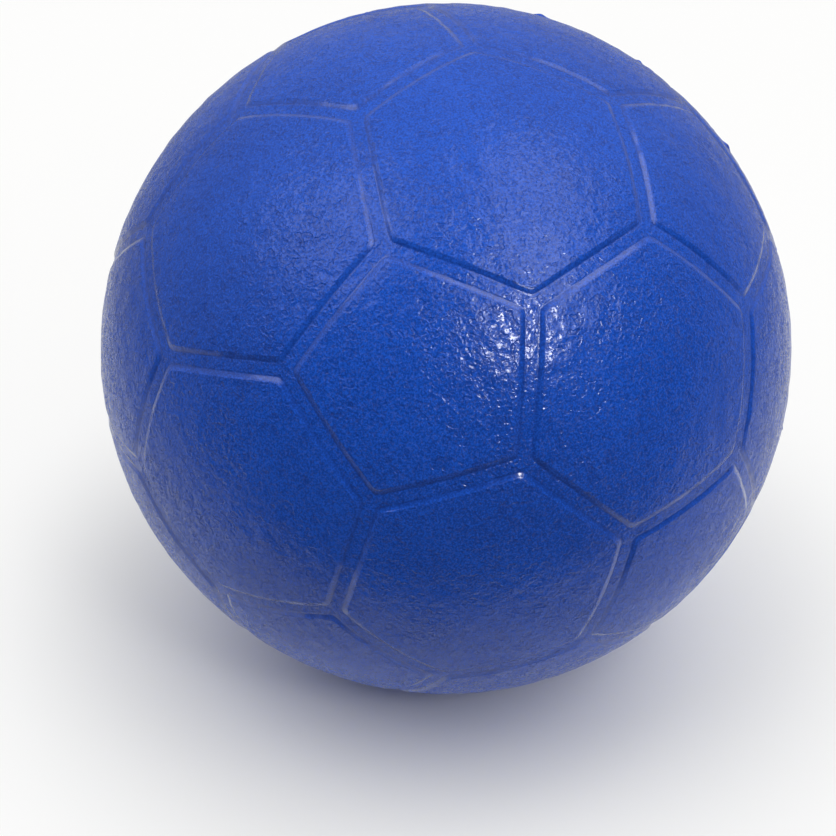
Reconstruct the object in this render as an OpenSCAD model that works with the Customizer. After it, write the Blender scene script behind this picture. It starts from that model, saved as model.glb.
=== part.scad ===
// Foam soccer ball: a tough elastomer skin, moulded in two halves, bonded round a soft foam core.
// The skin carries the pattern of twelve pentagons and twenty hexagons as raised panels between
// shallow grooves, and the foam behind it follows the same relief. The origin is the ball's centre.

/* [Ball] */
// Outside diameter over the panels
ball_d = 200; // [150:1:230]
// Thickness of the elastomer skin
skin_t = 1.2; // [0.8:0.1:2]
// Bond line between the skin and the foam core
bond_line = 0.1; // [0.05:0.05:0.3]

/* [Grooves between the panels] */
// Width of a groove at its floor
groove_w = 4.7; // [3:0.1:7]
// Depth of a groove below the panels
groove_depth = 0.5; // [0.3:0.1:1.6]
// Draft of a groove's walls, for release from the mould, in degrees
wall_draft = 6; // [2:1:10]

/* [How the ball lies] */
// Lean of the mould axis from the vertical, in degrees
axis_lean = 60; // [0:1:180]
// Turn of the mould axis about the vertical, in degrees
axis_turn = -95.5; // [-180:0.5:180]
// Spin of the pattern about the mould axis, in degrees
pattern_spin = 54; // [0:0.5:72]

/* [Hidden] */
$fn = 96;

ball_r = ball_d / 2;
// How far a panel's body reaches below the groove floor at its corners, to fuse with the ball there
panel_root = 2;

function unit(v) = v / norm(v);

// Twelve five-fold axes of the icosahedron: a pole, the ring of five round it, and their opposites.
// Each carries a pentagon, and neighbouring axes stand atan(2) apart.
ring_angle = atan(2);
half_axes = concat(
    [[0, 0, 1]],
    [for (k = [0:4]) [sin(ring_angle) * cos(72 * k), sin(ring_angle) * sin(72 * k), cos(ring_angle)]]
);
axes = concat(half_axes, -half_axes);
last = len(axes) - 1;
function neighbours(i, j) = i != j && axes[i] * axes[j] > 0;

// A panel is [sides, its centre, an axis that sets its turn]. A pentagon has a corner towards
// that axis, and a hexagon, which lies among three neighbouring axes, has a side towards it.
pentagons = [
    for (i = [0:last])
        [5, axes[i], [for (j = [0:last]) if (neighbours(i, j)) axes[j]][0]]
];
hexagons = [
    for (i = [0:last], j = [i:last], k = [j:last])
        if (neighbours(i, j) && neighbours(j, k) && neighbours(k, i))
            [6, unit(axes[i] + axes[j] + axes[k]), axes[i]]
];
panels = concat(pentagons, hexagons);

// Three panels meet a third of the way between two neighbouring axes.
panel_corner = unit(2 * axes[0] + axes[1]);
// Angles at the ball's centre from a panel's middle to its corners, and to the middle of a side
pentagon_corner = acos(pentagons[0][1] * panel_corner);
hexagon_corner = acos(hexagons[0][1] * panel_corner);
function corner_reach(sides) = sides == 5 ? pentagon_corner : hexagon_corner;
function side_reach(sides) = atan(tan(corner_reach(sides)) * cos(180 / sides));
function first_side(sides) = sides == 5 ? 180 / sides : 0;

// Half the groove's floor on a surface that lies inset below the outside, with walls kept parallel
function floor_half(inset) =
    groove_w / 2 + inset * (1 - sin(wall_draft)) / cos(wall_draft);

// Turns +Z to a panel's middle, with +X on the side of its second axis
module on_the_ball(middle, second) {
    y = unit(cross(middle, second));
    x = cross(y, middle);
    multmatrix([
        [x.x, y.x, middle.x, 0],
        [x.y, y.y, middle.y, 0],
        [x.z, y.z, middle.z, 0],
        [0, 0, 0, 1]
    ])
        children();
}

module as_the_ball_lies() {
    rotate([0, 0, axis_turn])
        rotate([0, axis_lean, 0])
            rotate([0, 0, pattern_spin])
                children();
}

// A panel centred on +Z: a cap of the ball, cut on each side by a flat wall that leans by the draft
module panel(sides, inset) {
    floor_r = ball_r - groove_depth - inset;
    root_z = floor_r * cos(corner_reach(sides)) - panel_root;
    wall_z = floor_half(inset) * cos(wall_draft) - floor_r * sin(wall_draft);
    wall_angle = side_reach(sides) - wall_draft;
    difference() {
        intersection() {
            rotate([0, 90, 0])
                sphere(ball_r - inset);
            translate([-ball_r, -ball_r, root_z])
                cube(ball_d);
        }
        for (k = [0:sides - 1])
            rotate([0, wall_angle - 90, first_side(sides) + k * 360 / sides])
                translate([-ball_d, -ball_d, wall_z - ball_d])
                    cube([2 * ball_d, 2 * ball_d, ball_d]);
    }
}

// The whole relief, inset below the ball's outside: a ball at the grooves' floor and its panels
module grooved_ball(inset) {
    sphere(ball_r - groove_depth - inset);
    for (shape = panels)
        on_the_ball(shape[1], shape[2])
            panel(shape[0], inset);
}

// One mould half's skin, on the positive or the negative side of the parting plane
module skin_half(side) {
    intersection() {
        difference() {
            grooved_ball(0);
            grooved_ball(skin_t);
        }
        translate([-ball_d, -ball_d, side > 0 ? 0 : -ball_d])
            cube([2 * ball_d, 2 * ball_d, ball_d]);
    }
}

module foam_core() {
    color("oldlace")
        as_the_ball_lies()
            grooved_ball(skin_t + bond_line);
}

module front_skin_half() {
    color("royalblue")
        as_the_ball_lies()
            skin_half(1);
}

module back_skin_half() {
    color("royalblue")
        as_the_ball_lies()
            skin_half(-1);
}

foam_core();
front_skin_half();
back_skin_half();
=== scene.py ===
# %% [markdown]
# # A foam soccer ball
# The ball is soft foam inside a tough, rubbery blue skin. The skin is moulded in two halves, and the
# pattern of twelve pentagons and twenty hexagons is pressed into it as raised panels between shallow
# grooves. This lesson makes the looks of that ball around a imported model, which gives the size and the
# place. The origin is the ball's centre. Shapes are worked out in millimetres, and finished pieces are in
# metres.

import bmesh
import bpy
import numpy as np
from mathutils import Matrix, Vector


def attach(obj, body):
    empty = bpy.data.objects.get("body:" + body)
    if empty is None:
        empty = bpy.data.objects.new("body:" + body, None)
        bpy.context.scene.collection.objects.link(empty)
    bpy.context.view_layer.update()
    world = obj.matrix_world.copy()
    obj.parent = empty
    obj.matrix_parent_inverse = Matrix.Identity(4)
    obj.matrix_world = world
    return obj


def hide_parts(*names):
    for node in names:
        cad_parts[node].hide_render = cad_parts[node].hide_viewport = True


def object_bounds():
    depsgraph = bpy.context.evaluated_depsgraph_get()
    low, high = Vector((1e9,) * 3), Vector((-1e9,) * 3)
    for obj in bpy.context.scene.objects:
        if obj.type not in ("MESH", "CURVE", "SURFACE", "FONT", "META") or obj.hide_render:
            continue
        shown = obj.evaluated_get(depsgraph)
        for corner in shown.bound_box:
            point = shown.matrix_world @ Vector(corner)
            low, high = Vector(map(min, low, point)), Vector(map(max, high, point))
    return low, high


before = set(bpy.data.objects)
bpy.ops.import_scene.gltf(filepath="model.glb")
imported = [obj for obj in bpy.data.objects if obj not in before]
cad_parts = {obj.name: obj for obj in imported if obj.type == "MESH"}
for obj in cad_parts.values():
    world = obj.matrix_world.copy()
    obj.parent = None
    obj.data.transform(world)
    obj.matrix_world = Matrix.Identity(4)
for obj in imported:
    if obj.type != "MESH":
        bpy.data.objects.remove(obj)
cad_low, cad_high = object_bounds()
MM = 0.001
BALL_R = max(cad_high - cad_low) / 2 / MM
print(f"nodes {sorted(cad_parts)}, ball radius {BALL_R:.2f} mm")

# %% [markdown]
# ## How the ball lies
# A mould has its own axis, and the pattern is simple only in the mould's frame: a pentagon sits on the
# axis, and the two halves part on the plane across it. So every shape here is worked out in the mould's
# frame and turned to the ball's lie at the end. The three angles are the same as the solid model's.

# %% Turn the mould's frame to the ball's lie
AXIS_TURN = -95.5
AXIS_LEAN = 60
PATTERN_SPIN = 54


def turn(axis, degrees):
    """The 3 by 3 matrix of a turn about the X, Y or Z axis.
    It has the cosine twice on the diagonal and the sine, plus and minus, across it. It is in double
    precision, so that points which are shared by two sectors agree."""
    first, second = {"X": (1, 2), "Y": (2, 0), "Z": (0, 1)}[axis]
    matrix = np.eye(3)
    matrix[first, first] = matrix[second, second] = np.cos(np.radians(degrees))
    matrix[second, first] = np.sin(np.radians(degrees))
    matrix[first, second] = -matrix[second, first]
    return matrix


LIE = turn("Z", AXIS_TURN) @ turn("Y", AXIS_LEAN) @ turn("Z", PATTERN_SPIN)
print("the mould's axis points to", LIE[:, 2].round(3))

# %% [markdown]
# ## The thirty-two panels
# The pattern is the truncated icosahedron. Its twelve five-fold axes carry the pentagons: a pole, a ring of
# five at the angle whose tangent is 2, and their opposites. Each set of three neighbouring axes has a
# hexagon between them. The corners could be typed in as a table, but a few sums on the axes give them all
# and show why they fit.

# %% Find the panels' middles
PENTAGON = 5
HEXAGON = 6


def unit(vectors):
    """The same directions with a length of one."""
    return vectors / np.linalg.norm(vectors, axis=-1, keepdims=True)


ring_tilt = np.arctan(2)
ring_round = np.radians(360 / PENTAGON) * np.arange(PENTAGON)
ring = np.stack(
    [
        np.sin(ring_tilt) * np.cos(ring_round),
        np.sin(ring_tilt) * np.sin(ring_round),
        np.full(PENTAGON, np.cos(ring_tilt)),
    ],
    axis=1,
)
upper_axes = np.vstack([[0, 0, 1], ring])
axes = np.vstack([upper_axes, -upper_axes])
neighbours = (axes @ axes.T > 0) & ~np.eye(len(axes), dtype=bool)

first, second, third = np.nonzero(neighbours[:, :, None] & neighbours[None] & neighbours[:, None, :])
in_order = (first < second) & (second < third)
threes = axes[np.stack([first, second, third], axis=1)[in_order]]

middles = {PENTAGON: axes, HEXAGON: unit(threes.sum(axis=1))}
guides = {PENTAGON: axes[neighbours.argmax(axis=1)], HEXAGON: threes[:, 0]}
print("panels by their number of sides:", {sides: len(found) for sides, found in middles.items()})

# %% [markdown]
# Every panel is a regular polygon, so it falls into equal sectors, one for each side: from the panel's
# middle to the groove along that side. A sector is worked out once, with the panel's middle on +Z and the
# side towards +X, and a stack of 3 by 3 turns puts it in all of its places at once.

# %% Put a sector on every side of every panel
panel_corner = unit(2 * axes[0] + axes[1])
first_side = {PENTAGON: 180 / PENTAGON, HEXAGON: 0}
side_reach = {}
sector_turns = {}
for sides in middles:
    corner_reach = np.arccos((middles[sides] @ panel_corner).max())
    side_reach[sides] = np.arctan(np.tan(corner_reach) * np.cos(np.pi / sides))
    across = unit(np.cross(middles[sides], guides[sides]))
    towards = np.cross(across, middles[sides])
    panel_turns = np.stack([towards, across, middles[sides]], axis=2)
    side_turns = np.array([turn("Z", first_side[sides] + k * 360 / sides) for k in range(sides)])
    sector_turns[sides] = np.einsum("pab,kbc->pkac", panel_turns, side_turns)
    print(sides, "sides: a side lies", np.degrees(side_reach[sides]).round(2), "degrees from the middle")

# %% [markdown]
# ## A grid over the ball
# The grooves' walls are narrow and bend quickly, and the panels are broad and calm, so one even grid would
# waste its faces or blur the walls. Here each sector has rows along the groove at chosen distances from its
# middle, close together on the wall. Within this rim each row has one point less than the last, up to the
# panel's middle. That gives near-even triangles all over. Neighbouring sectors share the points on their
# borders.

# %% Make the grid of one sector, then of the ball
SKIN_COLUMNS = 32
SKIN_RIM = (0, 0.8, 1.25, 1.5, 1.7, 1.9, 2.15, 2.4, 2.65, 2.85, 3.05, 3.3, 3.6, 4.4)


def sector_grid(sides, columns, rim):
    """Directions and triangles of one sector.
    A row that lies s mm from the groove's middle is the line x = tan(reach - s / R) on the plane z = 1, and
    its points run from y = -x tan(180 / sides) to y = +x tan(180 / sides). Within the rim x falls to 0 in
    even steps."""
    rim_x = np.tan(side_reach[sides] - np.array(rim) / BALL_R)
    row, step = np.nonzero(np.tri(columns)[::-1])
    row_x = rim_x[-1] * (1 - (row + 1) / columns)
    row_share = 2 * step / np.maximum(columns - row - 1, 1) - 1
    x = np.concatenate([np.repeat(rim_x, columns + 1), row_x])
    share = np.concatenate([np.tile(np.linspace(-1, 1, columns + 1), len(rim)), row_share])
    directions = unit(np.stack([x, x * share * np.tan(np.pi / sides), np.ones_like(x)], axis=1))

    strip, column = np.divmod(np.arange((len(rim) - 1) * columns), columns)
    near = strip * (columns + 1) + column
    far = near + columns + 1
    start = (len(rim) - 1) * (columns + 1) + row * (columns + 1) - row * (row - 1) // 2 + step
    above = start + columns + 1 - row
    more = step < columns - row - 1
    triangles = np.concatenate([
        np.stack([near, near + 1, far], axis=1),
        np.stack([near + 1, far + 1, far], axis=1),
        np.stack([start, start + 1, above], axis=1),
        np.stack([start + 1, above + 1, above], axis=1)[more],
    ])
    return directions, triangles


def weld(points, triangles):
    """Makes one point of those that agree to a millionth, and renumbers the triangles."""
    _, kept, renumbered = np.unique(
        np.round(points * 1e6).astype(int), axis=0, return_index=True, return_inverse=True
    )
    return points[kept], renumbered.ravel()[triangles]


def ball_grid(columns, rim):
    """Directions and triangles of the whole ball, in the mould's frame: every sector in its place."""
    all_directions = []
    all_triangles = []
    count = 0
    for sides, turns in sector_turns.items():
        directions, triangles = sector_grid(sides, columns, rim)
        stack = np.einsum("nab,vb->nva", turns.reshape(-1, 3, 3), directions)
        starts = count + len(directions) * np.arange(len(stack))
        all_directions.append(stack.reshape(-1, 3))
        all_triangles.append((starts[:, None, None] + triangles).reshape(-1, 3))
        count += stack.shape[0] * stack.shape[1]
    return weld(np.concatenate(all_directions), np.concatenate(all_triangles))


skin_grid = ball_grid(SKIN_COLUMNS, SKIN_RIM)
print("skin grid:", len(skin_grid[0]), "points,", len(skin_grid[1]), "triangles")

# %% [markdown]
# ## Grooves
# A groove has a flat floor and a wall on each side that leans far back, about 70 degrees from upright, with
# its foot and its top rounded by the coating. It could be cut out of a sphere, but a height that depends
# only on the distance to the groove's middle keeps the grid clean. At a corner two sides are equally near,
# and a soft least of the two distances rounds the corner.

# %% Work out the grooves' relief
GROOVE_DEPTH = 0.55
WALL_FOOT = 1.65
WALL_RUN = 1.4
WALL_ROUNDING = 0.4
CORNER_SOFTNESS = 0.4
INWARD_SHIFT = 0.18

side_normals = []
for sides, turns in sector_turns.items():
    inward = np.array([-np.cos(side_reach[sides]), 0, np.sin(side_reach[sides])])
    side_normals.extend(turns @ inward)


def groove_distance(directions):
    """Distance in mm from the middle of the nearest groove.
    A side's distance is R asin(d . n), with n the inward normal of the plane through that side. In each
    panel the sides' distances s give the soft least, -k ln(sum of exp(-s / k)), and the panel where it is
    greatest counts."""
    nearest = np.full(len(directions), -np.inf)
    for normals in side_normals:
        away = BALL_R * np.arcsin(np.clip(directions @ normals.T, -1, 1))
        soft_least = -CORNER_SOFTNESS * np.log(np.exp(-away / CORNER_SOFTNESS).sum(axis=1))
        nearest = np.maximum(nearest, soft_least)
    return nearest


def rounded_bend(t):
    """0 below a bend and t above it, with a parabola, (t + f / 2)^2 / 2f, within half a rounding f of it."""
    half = WALL_ROUNDING / 2
    return np.clip(t + half, 0, 2 * half) ** 2 / (4 * half) + np.maximum(t - half, 0)


def groove_drop(distance, inset):
    """Drop in mm below the panels: the full depth on the floor, then a straight wall with rounded ends.
    On a surface that lies inset below the outside, the wall stands further from the groove's middle."""
    t = (distance - WALL_FOOT - INWARD_SHIFT * inset) / WALL_RUN
    return GROOVE_DEPTH * (1 - rounded_bend(t) + rounded_bend(t - 1))


print("panels with sides to measure from:", len(side_normals))

# %% [markdown]
# ## The skin's unevenness
# The skin is a thick coating on foam, so its panels aren't true: they swell and dip by a few hundredths of
# a millimetre over several millimetres, and the groove's edges wander a little. Gloss shows both. A noise
# texture could bend the shading alone, but a real shape also shows on the outline, so it goes into the
# mesh.

# %% Add swells and wandering edges
SWELL = 0.045
SWELL_LENGTHS = (4.5, 11)
EDGE_WANDER = 0.07
EDGE_LENGTHS = (4, 14)
WAVES = 40


def ripple(directions, lengths, seed):
    """Sum of plane waves through the ball, with a mean square of 1.
    Each wave is sin(2 pi R / length times the reach along its heading, plus its phase), with a random
    heading, phase and length in mm."""
    rng = np.random.default_rng(seed)
    headings = unit(rng.normal(size=(WAVES, 3)))
    numbers = 2 * np.pi * BALL_R / np.exp(rng.uniform(*np.log(lengths), WAVES))
    phases = rng.uniform(0, 2 * np.pi, WAVES)
    total = np.zeros(len(directions))
    for heading, number, phase in zip(headings, numbers, phases):
        total += np.sin(number * (directions @ heading) + phase)
    return total * np.sqrt(2 / WAVES)


def skin_radius(directions):
    """Distance in mm from the ball's centre to the skin's outside: R, less the groove, plus the swell."""
    distance = groove_distance(directions) + EDGE_WANDER * ripple(directions, EDGE_LENGTHS, seed=3)
    return BALL_R - groove_drop(distance, 0) + SWELL * ripple(directions, SWELL_LENGTHS, seed=5)


def inner_radius(directions, inset):
    """Distance in mm from the ball's centre to an even surface that lies inset below the outside."""
    return BALL_R - inset - groove_drop(groove_distance(directions), inset)


panel_middles = np.concatenate(list(middles.values()))
print("the panels' middles swell and dip by", np.ptp(skin_radius(panel_middles)).round(2), "mm in all")

# %% [markdown]
# ## Two halves of skin
# The skin is one layer, about 1.2 mm thick, on which the mould's halves leave a parting line. Each half
# here is a closed shell: the outside, a coarser inside that follows it, and a flat ring between them on the
# parting plane. A boolean could halve a finished shell, but cutting each surface first leaves the grid as
# it is. Points that lie almost on the plane are moved onto it before the cut, so that it leaves no slivers.

# %% Cut a surface at the parting plane
NEAR_PLANE = 0.08
ON_PLANE = 1e-6
SHARP_EDGE = 65


def flatten_near_plane(directions, triangles):
    """Moves directions within a hair of the parting plane onto it, and drops triangles that lie in it."""
    close = np.abs(directions[:, 2]) * BALL_R < NEAR_PLANE
    moved = np.where(close[:, None], directions * [1, 1, 0], directions)
    return unit(moved), triangles[~close[triangles].all(axis=1)]


def mesh_from(name, points, triangles):
    """A mesh of triangles, smooth but for its sharpest edges."""
    mesh = bpy.data.meshes.new(name)
    mesh.from_pydata(points, [], triangles)
    mesh.shade_smooth()
    mesh.set_sharp_from_angle(angle=np.radians(SHARP_EDGE))
    return mesh


def cut_half(points, triangles, side):
    """Points, triangles and rim of the part of a surface on one side of the plane z = 0.
    The rim is the points on edges with one triangle, in order of their angle round the axis."""
    mesh = mesh_from("uncut", points, triangles)
    work = bmesh.new()
    work.from_mesh(mesh)
    everything = [*work.verts, *work.edges, *work.faces]
    bmesh.ops.bisect_plane(work, geom=everything, dist=ON_PLANE, plane_no=(0, 0, side), clear_inner=True)
    bmesh.ops.triangulate(work, faces=work.faces[:])
    work.to_mesh(mesh)
    work.free()
    kept = np.empty(3 * len(mesh.vertices))
    mesh.vertices.foreach_get("co", kept)
    corners = np.empty(3 * len(mesh.polygons), dtype=int)
    mesh.polygons.foreach_get("vertices", corners)
    bpy.data.meshes.remove(mesh)
    kept = kept.reshape(-1, 3)
    corners = corners.reshape(-1, 3)
    edges = np.sort(corners[:, [0, 1, 1, 2, 2, 0]].reshape(-1, 2), axis=1)
    pairs, uses = np.unique(edges, axis=0, return_counts=True)
    rim = np.unique(pairs[uses == 1])
    rim = rim[np.argsort(np.arctan2(kept[rim, 1], kept[rim, 0]))]
    return kept, corners, rim


near_plane = np.abs(skin_grid[0][:, 2]) * BALL_R < NEAR_PLANE
print("points of the skin grid to move onto the parting plane:", near_plane.sum())

# %% [markdown]
# The cut outside and the cut inside each have a rim on the parting plane, with different numbers of points.
# The ring between them is zipped: going round, each next point of either rim makes a triangle with the last
# points passed on both. That closes the half whatever the two numbers are.

# %% Join two cut surfaces into a closed half
SKIN_THICKNESS = 1.2
INNER_COLUMNS = 8
INNER_RIM = (0, 1.5, 1.9, 2.4, 2.9, 3.4, 5)


def zip_rims(points, outer, inner):
    """Triangles of the flat ring between two rims.
    The points of both are passed in order of angle; each joins the last point passed on either rim."""
    both = np.concatenate([outer, inner])
    order = np.argsort(np.arctan2(points[both, 1], points[both, 0]), kind="stable")
    on_outer = order < len(outer)
    last_outer = np.cumsum(on_outer) - 1 - on_outer
    last_inner = np.cumsum(~on_outer) - 1 - ~on_outer
    return np.stack([outer[last_outer], both[order], inner[last_inner]], axis=1)


def skin_half(side):
    """Points in mm and triangles of one half of the skin, in the mould's frame."""
    directions, triangles = flatten_near_plane(*skin_grid)
    outside = cut_half(directions * skin_radius(directions)[:, None], triangles, side)
    directions, triangles = flatten_near_plane(*ball_grid(INNER_COLUMNS, INNER_RIM))
    inside = cut_half(directions * inner_radius(directions, SKIN_THICKNESS)[:, None], triangles, side)
    count = len(outside[0])
    points = np.concatenate([outside[0], inside[0]])
    flat_ring = zip_rims(points, outside[2], inside[2] + count)
    faces = [outside[1], inside[1][:, ::-1] + count, flat_ring[:, ::-1] if side > 0 else flat_ring]
    return points, np.concatenate(faces)


def add_piece(name, points, triangles):
    """A new object on the ball's body from points in mm in the mould's frame, turned to the ball's lie."""
    piece = bpy.data.objects.new(name, mesh_from(name, points @ LIE.T * MM, triangles))
    bpy.context.scene.collection.objects.link(piece)
    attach(piece, "root")
    size = np.ptp(points, axis=0).round(1)
    print(f"{name}: {len(triangles)} triangles, {size} mm along the mould's axes")
    return piece


front = skin_half(1)
back = skin_half(-1)
front_skin = add_piece("front_skin", *front)
back_skin = add_piece("back_skin", *back)
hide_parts("front_skin_half")
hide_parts("back_skin_half")

# %% [markdown]
# ## Marks for the finish
# The coating runs smooth over the grooves' walls, and a painted shade darkens their foot, so the finish has
# to know where these are. Nodes could work the distances out again, but that takes every side of all 32
# panels. So each point of the skin carries two numbers instead: how near it is to the middle of a wall, and
# how near to a wall's foot.

# %% Mark the walls and their feet
# The wall mark smooths the finish on the walls, and the foot mark places painted shade at their foot.
FOOT_LINE = WALL_FOOT + 0.35
FOOT_REACH = 0.8
MARKED_LINES = {"wall": (WALL_FOOT + WALL_RUN / 2, WALL_RUN), "foot": (FOOT_LINE, FOOT_REACH)}


def mark_lines(piece, points):
    """Stores how near each point is to each line that runs along the grooves at its own distance.
    The mark is 1 - |distance - line| / reach, or 0 out of reach."""
    distance = groove_distance(unit(points))
    for name, (line, reach) in MARKED_LINES.items():
        nearness = np.clip(1 - np.abs(distance - line) / reach, 0, 1)
        piece.data.attributes.new(name, "FLOAT", "POINT").data.foreach_set("value", nearness)
        print(f"{piece.name}: {(nearness > 0).sum()} points near a groove's {name}")


mark_lines(front_skin, front[0])
mark_lines(back_skin, back[0])

# %% [markdown]
# ## The parting line
# Where the mould's halves meet, a fine bead of skin is squeezed out, and trimming leaves short nibs on it.
# A few break the ball's outline. The bead could be a bevelled curve, but its nibs need a height and a width
# of their own. So it is a closed ring: a flat cross-section, carried round the parting line, that rises and
# falls with the skin below it and swells at each nib.

# %% Carry the bead round the parting line
BEAD_STEPS = 2400
BEAD_CORNERS = 10
BEAD_HALF_WIDTH = 0.3
BEAD_HEIGHT = 0.1
BEAD_ROOT = 0.3
BEAD_WAVER = 0.5
BEAD_LEAST = 0.2
BEAD_LENGTHS = (2, 12)
# The angle round the mould's axis in degrees, the height in mm and the half length in mm of each nib
NIBS = (
    (113, 0.7, 1.7),
    (95, 0.7, 1.1),
    (75, 0.65, 1.6),
    (26, 0.7, 1.1),
    (-8, 0.4, 1.3),
    (-41, 0.6, 1.0),
    (-63, 0.3, 1.6),
    (-97, 0.5, 1.2),
    (-122, 0.4, 1.8),
    (-160, 0.6, 1.1),
    (171, 0.3, 1.3),
    (142, 0.5, 1.2),
)
NIB_SPREAD = 0.5


def parting_bead():
    """Points in mm and triangles of the bead.
    With t round the cross-section, its width is w cos(t), and its height over the skin h sin(t) on the upper
    half and root sin(t) on the lower. A nib adds a bell curve, exp(-(distance / length)^2) times its height,
    to h and a share of it to w."""
    angle = np.linspace(-np.pi, np.pi, BEAD_STEPS, endpoint=False)
    turn_round = np.stack([np.cos(angle), np.sin(angle), np.zeros(BEAD_STEPS)], axis=1)
    nib_angle, nib_height, nib_length = np.array(NIBS).T
    apart = (angle[:, None] - np.radians(nib_angle) + np.pi) % (2 * np.pi) - np.pi
    nibs = (nib_height * np.exp(-((BALL_R * apart / nib_length) ** 2))).sum(axis=1)
    waver = np.clip(1 + BEAD_WAVER * ripple(turn_round, BEAD_LENGTHS, seed=11), BEAD_LEAST, None)
    height = BEAD_HEIGHT * waver + nibs
    width = BEAD_HALF_WIDTH + NIB_SPREAD * nibs

    t = np.linspace(0, 2 * np.pi, BEAD_CORNERS, endpoint=False)
    rise = np.where(np.sin(t) > 0, height[:, None] * np.sin(t), BEAD_ROOT * np.sin(t))
    lift = width[:, None] * np.cos(t) / BALL_R
    directions = unit(turn_round[:, None, :] + lift[:, :, None] * [0, 0, 1])
    radius = skin_radius(turn_round)[:, None] + rise
    points = (directions * radius[:, :, None]).reshape(-1, 3)

    here = np.arange(len(points))
    step, corner = np.divmod(here, BEAD_CORNERS)
    beside = step * BEAD_CORNERS + (corner + 1) % BEAD_CORNERS
    onward = (step + 1) % BEAD_STEPS * BEAD_CORNERS
    ahead = onward + corner
    ahead_beside = onward + (corner + 1) % BEAD_CORNERS
    return points, np.concatenate([
        np.stack([here, ahead_beside, ahead], axis=1),
        np.stack([here, beside, ahead_beside], axis=1),
    ])


bead = add_piece("parting_bead", *parting_bead())

# %% [markdown]
# ## The foam core
# Under the skin is one solid lump of soft foam that takes the same relief, a bond line's width inside the
# skin. It never shows on a whole ball, but it is what gives and springs back. It is the skin's grid again,
# coarser and at a smaller radius, with no parting line, because foam rises in the closed mould as one
# piece.

# %% Make the foam core
BOND_LINE = 0.1
FOAM_COLUMNS = 14
FOAM_RIM = (0, 1.4, 1.8, 2.2, 2.6, 3.0, 3.5, 4.8)

foam_directions, foam_triangles = ball_grid(FOAM_COLUMNS, FOAM_RIM)
foam_radius = inner_radius(foam_directions, SKIN_THICKNESS + BOND_LINE)
foam = add_piece("foam_core_ball", foam_directions * foam_radius[:, None], foam_triangles)
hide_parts("foam_core")

# %% [markdown]
# ## Sums on sockets
# A finish is a formula: so much of this noise, less where that one is high. Blender keeps such formulas as
# nodes and links. This small class lets them be written as sums: it wraps a socket, and each operator adds
# a Math node. Its other methods add any kind of node, a smooth step, and a blend of two colours.

# %% Wrap a socket


class Wire:
    """A socket that can be added, multiplied and so on, and that starts new nodes in its tree."""

    def __init__(self, tree, socket=None):
        self.tree = tree
        self.socket = socket

    def node(self, kind, settings=None, sockets=None, output=0):
        """Adds a node, sets its settings, feeds its sockets with values or wires, and gives one output."""
        made = self.tree.nodes.new(kind)
        for name, value in (settings or {}).items():
            setattr(made, name, value)
        for name, value in (sockets or {}).items():
            if isinstance(value, Wire):
                self.tree.links.new(value.socket, made.inputs[name])
            else:
                made.inputs[name].default_value = value
        return Wire(self.tree, made.outputs[output] if made.outputs else None)

    def sum(self, operation, left, right):
        """The result of one Math node on two values or wires."""
        return self.node("ShaderNodeMath", {"operation": operation}, {0: left, 1: right})

    def __add__(self, other):
        return self.sum("ADD", self, other)

    def __sub__(self, other):
        return self.sum("SUBTRACT", self, other)

    def __rsub__(self, other):
        return self.sum("SUBTRACT", other, self)

    def __mul__(self, other):
        return self.sum("MULTIPLY", self, other)

    __radd__ = __add__
    __rmul__ = __mul__

    def fade(self, low, high):
        """0 up to low and 1 from high on, with a smooth step between. Low may be the greater of the two."""
        return self.node(
            "ShaderNodeMapRange",
            {"interpolation_type": "SMOOTHSTEP"},
            {"Value": self, "From Min": low, "From Max": high},
        )

    def blend(self, first, second):
        """A colour that goes from the first, where this is 0, to the second, where it is 1."""
        return self.node("ShaderNodeMix", {"data_type": "RGBA"}, {0: self, 6: first, 7: second}, output=2)


# %% [markdown]
# A few helpers are the same for every finish: opening and closing a material, a place on the object in
# millimetres, and cloudy noise of a given size.

# %% Add helpers for every finish


def new_finish(name):
    """An empty material and a wire to start its nodes from."""
    material = bpy.data.materials.new(name)
    material.use_nodes = True
    material.node_tree.nodes.clear()
    return material, Wire(material.node_tree)


def close_finish(material, start, shader):
    """Feeds a shader to the material's surface."""
    start.node("ShaderNodeOutputMaterial", sockets={"Surface": shader})
    print(f"{material.name}: {len(material.node_tree.nodes)} nodes")


def place_in_mm(start):
    """A point's place on the object in mm.
    A texture's scale stops at 1000, which is too coarse for fine grain in metres."""
    metres = start.node("ShaderNodeTexCoord", output="Object")
    return start.node("ShaderNodeVectorMath", {"operation": "SCALE"}, {0: metres, "Scale": 1 / MM})


def noise(place, size, detail=2.0, roughness=0.5):
    """Cloudy noise from 0 to 1 whose largest clouds are about size mm across."""
    return place.node(
        "ShaderNodeTexNoise",
        sockets={"Vector": place, "Scale": 1 / size, "Detail": detail, "Roughness": roughness},
    )
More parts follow.
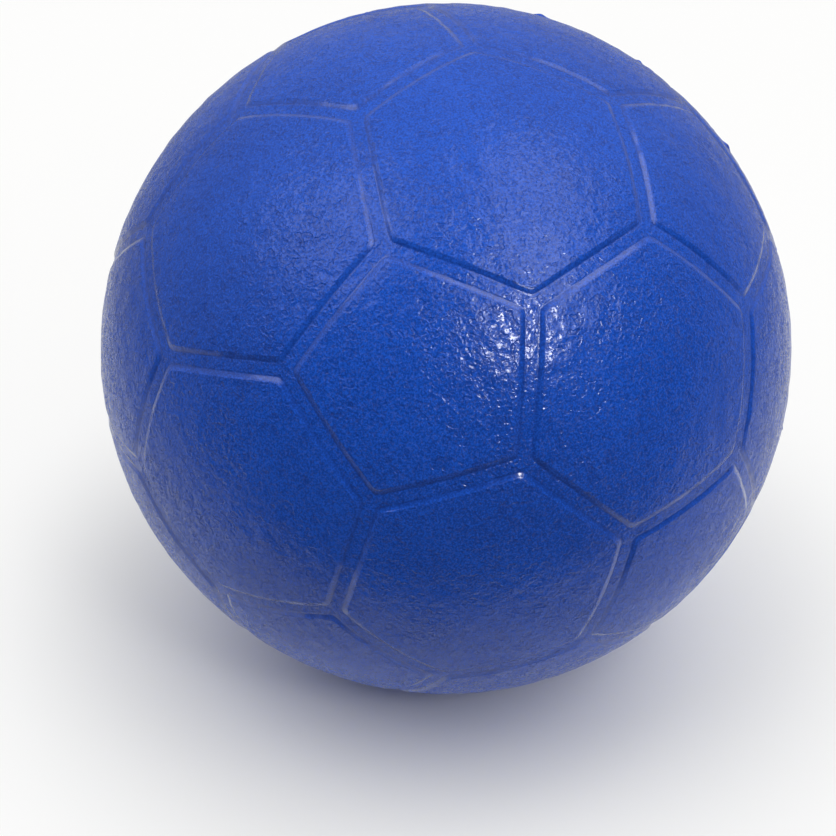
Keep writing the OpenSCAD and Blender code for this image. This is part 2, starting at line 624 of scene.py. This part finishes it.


# %% [markdown]
# ## The skin's finish
# The skin is a blue rubber coating with the uneven surface of orange peel: soft dents and rises two or
# three millimetres apart, deeper in some patches than in others, a finer grain on them, and here and there
# a pit where a bubble broke. An image could carry all that, but it would show seams and fix the scale. Here
# noise gives heights in real millimetres, and the gloss that their slopes break up is what the eye reads as
# grain.
#
# The rest of the look comes from four things. The skin is matt in the hollows of the grain. The blue has
# fine specks and faint clouds. On the grooves' walls the coating is smooth, with a thin clear film, which
# gives the fine pale lines. A deeper blue is painted shade at the walls' foot and in the dents, the grain
# and the pits.

# %% Mix the skin's finish
SKIN_BLUE = (0.0140, 0.1080, 0.660, 1)
SKIN_DEEP_BLUE = (0.0075, 0.0590, 0.390, 1)
# The deepest blue is painted shade, laid in the dents, the grain, the pits and the walls' foot.
PAINTED_SHADE_BLUE = (0.0050, 0.0250, 0.190, 1)
CLOUD_SIZE = 35
CLOUD_CONTRAST = 0.3
SPECK_SIZE = 0.5
SPECK_CONTRAST = 3.8
PATCH_SIZE = 24
PEEL_SIZE = 2.4
PEEL_HEIGHT = 0.42
DENT_SIZE = 2.4
DENT_DEPTH = 0.16
# Here and below, each tint is the share of painted shade in the dents, the grain, the pits and the walls'
# foot.
DENT_PAINTED_SHADE = 0.2
GRAIN_SIZE = 0.75
GRAIN_DEPTH = 0.045
GRAIN_PAINTED_SHADE = 0.12
MATT_SHARE = 0.9
PIT_SPACING = 9.0
PIT_RADIUS = 0.7
PIT_DEPTH = 0.14
PIT_PAINTED_SHADE = 0.7
GLOSS_SIZE = 9
WALL_SMOOTHING = 0.85
WALL_FILM = 0.45
# Share of painted shade at the walls' foot.
FOOT_PAINTED_SHADE = 0.25


def hollows(place, spacing, radius):
    """1 at the middles of round hollows strewn through the ball, and 0 from their rims on, sized in mm."""
    cell = {"Vector": place, "Scale": 1 / spacing}
    return place.node("ShaderNodeTexVoronoi", {"feature": "F1"}, cell).fade(radius / spacing, 0)


def mark(start, name):
    """A mark that the skin's points carry, from 0 to 1."""
    return start.node("ShaderNodeAttribute", {"attribute_name": name}, output="Fac")


def skin_finish():
    """The skin's material.
    Its height is the peel, less dents and grain, scaled by the patches and smoothed on the walls, less the
    pits. Its colour goes from blue to deep blue by clouds and specks, and to a darker blue of painted shade
    in dents, grain, pits and at the walls' foot. A matt and a glossy shader share these, and the grain mixes
    them."""
    material, start = new_finish("blue_coated_skin")
    place = place_in_mm(start)
    patches = noise(place, PATCH_SIZE, detail=1.0).fade(0.35, 0.65)
    peel = noise(place, PEEL_SIZE, detail=1.0, roughness=0.4)
    dent = noise(place, DENT_SIZE, detail=1.0).fade(0.55, 0.68)
    grain = noise(place, GRAIN_SIZE, detail=1.0).fade(0.48, 0.68)
    pit = hollows(place, PIT_SPACING, PIT_RADIUS)
    calm = mark(start, "wall").fade(0.2, 0.7)
    # Painted shade at the walls' foot, the darkest corner of each groove.
    painted_foot_shade = mark(start, "foot").fade(0.2, 0.8)

    relief = PEEL_HEIGHT * peel - DENT_DEPTH * dent - GRAIN_DEPTH * grain
    height = (0.6 + 0.6 * patches) * (1 - WALL_SMOOTHING * calm) * relief - PIT_DEPTH * pit
    normal = place.node("ShaderNodeBump", sockets={"Strength": 1.0, "Distance": MM, "Height": height})

    cloud = noise(place, CLOUD_SIZE, detail=2.0).fade(0.3, 0.7)
    speck = noise(place, SPECK_SIZE, detail=1.0)
    shade = 0.5 + CLOUD_CONTRAST * (cloud - 0.5) + SPECK_CONTRAST * (speck - 0.5)
    body = shade.blend(SKIN_BLUE, SKIN_DEEP_BLUE)
    # Painted shade: the blue darkens towards a deeper blue in dents, grain, pits and at the walls' foot.
    hollow_and_painted_shade = DENT_PAINTED_SHADE * dent + GRAIN_PAINTED_SHADE * grain + PIT_PAINTED_SHADE * pit + FOOT_PAINTED_SHADE * painted_foot_shade

    shared = {
        "Base Color": hollow_and_painted_shade.blend(body, PAINTED_SHADE_BLUE),
        "IOR": 1.393,
        "Coat Weight": WALL_FILM * calm,
        "Coat IOR": 1.5,
        "Coat Roughness": 0.15,
        "Normal": normal,
    }
    gloss = 0.12 + 0.10 * noise(place, GLOSS_SIZE)
    glossy = start.node("ShaderNodeBsdfPrincipled", sockets={"Roughness": gloss, **shared})
    matt = start.node("ShaderNodeBsdfPrincipled", sockets={"Roughness": 0.65, **shared})
    dulled = MATT_SHARE * grain * (1 - calm)
    shader = start.node("ShaderNodeMixShader", sockets={0: dulled, 1: glossy, 2: matt})
    close_finish(material, start, shader)
    return material


skin_material = skin_finish()
for piece in (front_skin, back_skin, bead):
    piece.data.materials.append(skin_material)

# %% [markdown]
# ## The foam's finish
# Cut open, the foam is a matt cream with fine closed cells. Real bubbles would take millions of faces, so a
# cell texture gives each one a bump, and painted shade darkens its hollow a little.

# %% Mix the foam's finish
# The darker cream is painted shade in the cells' hollows.
FOAM_CREAM = (0.86, 0.80, 0.66, 1)
FOAM_PAINTED_SHADE = (0.66, 0.58, 0.43, 1)
CELL_SIZE = 0.9
CELL_DEPTH = 0.2
FOAM_PATCH_SIZE = 8


def foam_finish():
    """The foam's material: cells sink towards their middles, and painted shade darkens them there, more in
    some patches.
    """
    material, start = new_finish("cream_foam")
    place = place_in_mm(start)
    cell = {"Vector": place, "Scale": 1 / CELL_SIZE}
    hollow_and_painted_shade = place.node("ShaderNodeTexVoronoi", {"feature": "F1"}, cell).fade(0.75, 0.1)
    bump = {"Strength": 0.8, "Distance": CELL_DEPTH * MM, "Height": 1 - hollow_and_painted_shade}
    # Painted shade in the cells' hollows, more in some patches.
    painted_cell_shade = hollow_and_painted_shade * (0.6 + 0.4 * noise(place, FOAM_PATCH_SIZE))
    shader = start.node(
        "ShaderNodeBsdfPrincipled",
        sockets={
            "Base Color": painted_cell_shade.blend(FOAM_CREAM, FOAM_PAINTED_SHADE),
            "Roughness": 0.85,
            "Normal": place.node("ShaderNodeBump", sockets=bump),
        },
    )
    close_finish(material, start, shader)
    return material


foam.data.materials.append(foam_finish())

# %% [markdown]
# ## The camera
# The camera looks down on the ball from in front. Its pitch, its distance and the place of the ball's
# centre in a square picture fix where it stands: along the line of sight through that pixel. It could be
# turned to face the ball and shifted after, but one sum in the camera's own directions gives its place at
# once.

# %% Stand the camera
PICTURE_SIDE = 836
FOCAL_LENGTH_PX = 2268.5
BALL_CENTRE_PX = (445.4, 350.0)
CAMERA_PITCH = 36.15
CAMERA_DEPTH = 0.6644

pitch = np.radians(CAMERA_PITCH)
sight_right = np.array([1, 0, 0])
sight_up = np.array([0, np.sin(pitch), np.cos(pitch)])
sight_back = np.array([0, -np.cos(pitch), np.sin(pitch)])
across_px = BALL_CENTRE_PX[0] - PICTURE_SIDE / 2
down_px = BALL_CENTRE_PX[1] - PICTURE_SIDE / 2
aside = (down_px * sight_up - across_px * sight_right) / FOCAL_LENGTH_PX
camera_place = CAMERA_DEPTH * (sight_back + aside)

camera_data = bpy.data.cameras.new("camera")
camera_data.sensor_width = 36
camera_data.lens = camera_data.sensor_width * FOCAL_LENGTH_PX / PICTURE_SIDE
camera = bpy.data.objects.new("camera", camera_data)
camera.location = camera_place
camera.rotation_euler = (np.pi / 2 - pitch, 0, 0)
bpy.context.scene.collection.objects.link(camera)
bpy.context.scene.camera = camera
print("camera at", camera_place.round(4), "lens", round(camera_data.lens, 2), "mm")

# %% [markdown]
# ## The floor
# The ball lies on a plain white floor, wide enough to reach past every view. Its soft shadow and the light
# that the floor throws back under the ball come from the floor's own white. A little way in front of the
# ball the floor throws back almost nothing, as if a white sheet ended there, and far off it throws back
# less. That keeps the ball's lower front a deep blue. A dark card could do the same, but it would show, so
# the camera is let off and sees white all over. For the camera the floor also pales towards pure white away
# from the ball, as in a bright picture, and the shadow fades out with it.

# %% Lay the floor
FLOOR_RADIUS = 14.0
FLOOR_SIDES = 96
FLOOR_WHITE = (0.89, 0.885, 0.850, 1)
FAR_FLOOR = (0.40, 0.40, 0.40, 1)
FRONT_FLOOR = (0.10, 0.10, 0.10, 1)
FAR_FADE = (0.18, 0.51)
FRONT_FADE = (-0.13, -0.19)
WHITE_CENTRE = (0, 0, cad_low.z)
WHITE_FADE = (0.064, 0.171)
WHITE_SHARE = 0.80


def floor_finish():
    """The floor's material.
    For light its white fades to grey away from the ball and to near black in front of it. For the camera it
    is white, mixed with a share of pure white that grows with the distance along the floor."""
    material, start = new_finish("white_floor")
    place = start.node("ShaderNodeTexCoord", output="Object")
    away = start.node("ShaderNodeVectorMath", {"operation": "LENGTH"}, {0: place}, output="Value")
    forward = start.node("ShaderNodeSeparateXYZ", sockets={0: place}, output="Y")
    ends = {0: place, 1: WHITE_CENTRE}
    along = start.node("ShaderNodeVectorMath", {"operation": "DISTANCE"}, ends, output="Value")
    seen = start.node("ShaderNodeLightPath", output="Is Camera Ray")
    unseen = 1 - seen
    far = (away.fade(*FAR_FADE) * unseen).blend(FLOOR_WHITE, FAR_FLOOR)
    colour = (forward.fade(*FRONT_FADE) * unseen).blend(far, FRONT_FLOOR)
    lit = start.node(
        "ShaderNodeBsdfPrincipled",
        sockets={"Base Color": colour, "Roughness": 0.75, "Specular IOR Level": 0.2},
    )
    white = start.node("ShaderNodeEmission", sockets={"Color": (1, 1, 1, 1), "Strength": 1.0})
    whitened = WHITE_SHARE * along.fade(*WHITE_FADE) * seen
    shader = start.node("ShaderNodeMixShader", sockets={0: whitened, 1: lit, 2: white})
    close_finish(material, start, shader)
    return material


floor_angle = np.linspace(0, 2 * np.pi, FLOOR_SIDES, endpoint=False)
floor_edge = np.stack([np.cos(floor_angle), np.sin(floor_angle), np.zeros(FLOOR_SIDES)], axis=1)
floor_mesh = bpy.data.meshes.new("floor")
floor_mesh.from_pydata(floor_edge * FLOOR_RADIUS + [0, 0, cad_low.z], [], [range(FLOOR_SIDES)])
floor_mesh.materials.append(floor_finish())
floor = bpy.data.objects.new("floor", floor_mesh)
bpy.context.scene.collection.objects.link(floor)

# %% [markdown]
# ## The light
# The ball stands in soft studio light. Most of it falls from above, from two glows on the right and a
# weaker one on the left, and the side behind the camera is dim, which keeps the front of the ball a deep
# blue. Large lamps could give the same, but they would stand in some views, so the glows are painted on the
# world as smooth spots.

# %% Paint the glows on the world
HORIZON = 0.39
ZENITH = 0.71
FRONT_SHADE = 0.88
RIGHT_GLOW = 2.15
FRONT_RIGHT_GLOW = 3.10
LEFT_GLOW = 1.70


def heading(azimuth, elevation):
    """A direction from the ball: azimuth 0 is towards the camera's side and 90 is towards +X."""
    a = np.radians(azimuth)
    e = np.radians(elevation)
    return Vector((np.sin(a) * np.cos(e), -np.cos(a) * np.cos(e), np.sin(e)))


def glow(way, middle, core, edge):
    """1 within the core angle of a direction, and 0 past the edge angle."""
    ends = {0: way, 1: middle}
    facing = way.node("ShaderNodeVectorMath", {"operation": "DOT_PRODUCT"}, ends, output="Value")
    return facing.fade(np.cos(np.radians(edge)), np.cos(np.radians(core)))


world = bpy.data.worlds.new("studio")
bpy.context.scene.world = world
world.use_nodes = True
world.node_tree.nodes.clear()
start = Wire(world.node_tree)
way = start.node("ShaderNodeTexCoord", output="Generated")
sky = HORIZON + (ZENITH - HORIZON) * glow(way, heading(0, 90), core=30, edge=90)
strength = (
    sky * (1 - FRONT_SHADE * glow(way, heading(14, 0), core=54, edge=109))
    + RIGHT_GLOW * glow(way, heading(94, 65), core=1, edge=24)
    + FRONT_RIGHT_GLOW * glow(way, heading(43, 49), core=14, edge=22)
    + LEFT_GLOW * glow(way, heading(-72, 57), core=16, edge=27)
)
background = start.node("ShaderNodeBackground", sockets={"Color": (1, 1, 1, 1), "Strength": strength})
start.node("ShaderNodeOutputWorld", sockets={"Surface": background})
print("studio:", len(world.node_tree.nodes), "nodes")

# %% [markdown]
# A small lamp beside the camera gives the highlight. A second one behind it, which lights the gloss alone,
# makes the highlight sparkle and leaves the blue as it is. One strong lamp would pale the blue round the
# highlight.

# %% Set the lamps
LAMP_PLACE = heading(28.8, 35.5)


def add_lamp(name, distance, side, power):
    """A square lamp beside the camera that faces the ball.
    Its distance and side are in metres, and its power is in watts."""
    data = bpy.data.lights.new(name, "AREA")
    data.size = side
    data.energy = power
    lamp = bpy.data.objects.new(name, data)
    lamp.location = LAMP_PLACE * distance
    lamp.rotation_euler = LAMP_PLACE.to_track_quat("Z", "Y").to_euler()
    bpy.context.scene.collection.objects.link(lamp)
    print(f"{name}: {power} W, {distance} m from the ball")
    return lamp


add_lamp("highlight_lamp", distance=1.2, side=0.20, power=1.5)
sparkle = add_lamp("sparkle_lamp", distance=1.25, side=0.22, power=4.3)
sparkle.visible_diffuse = False

# %% [markdown]
# ## Finish
# Colours are shown as they are, with no film look.

# %% Finish
bpy.context.scene.view_settings.view_transform = "Standard"
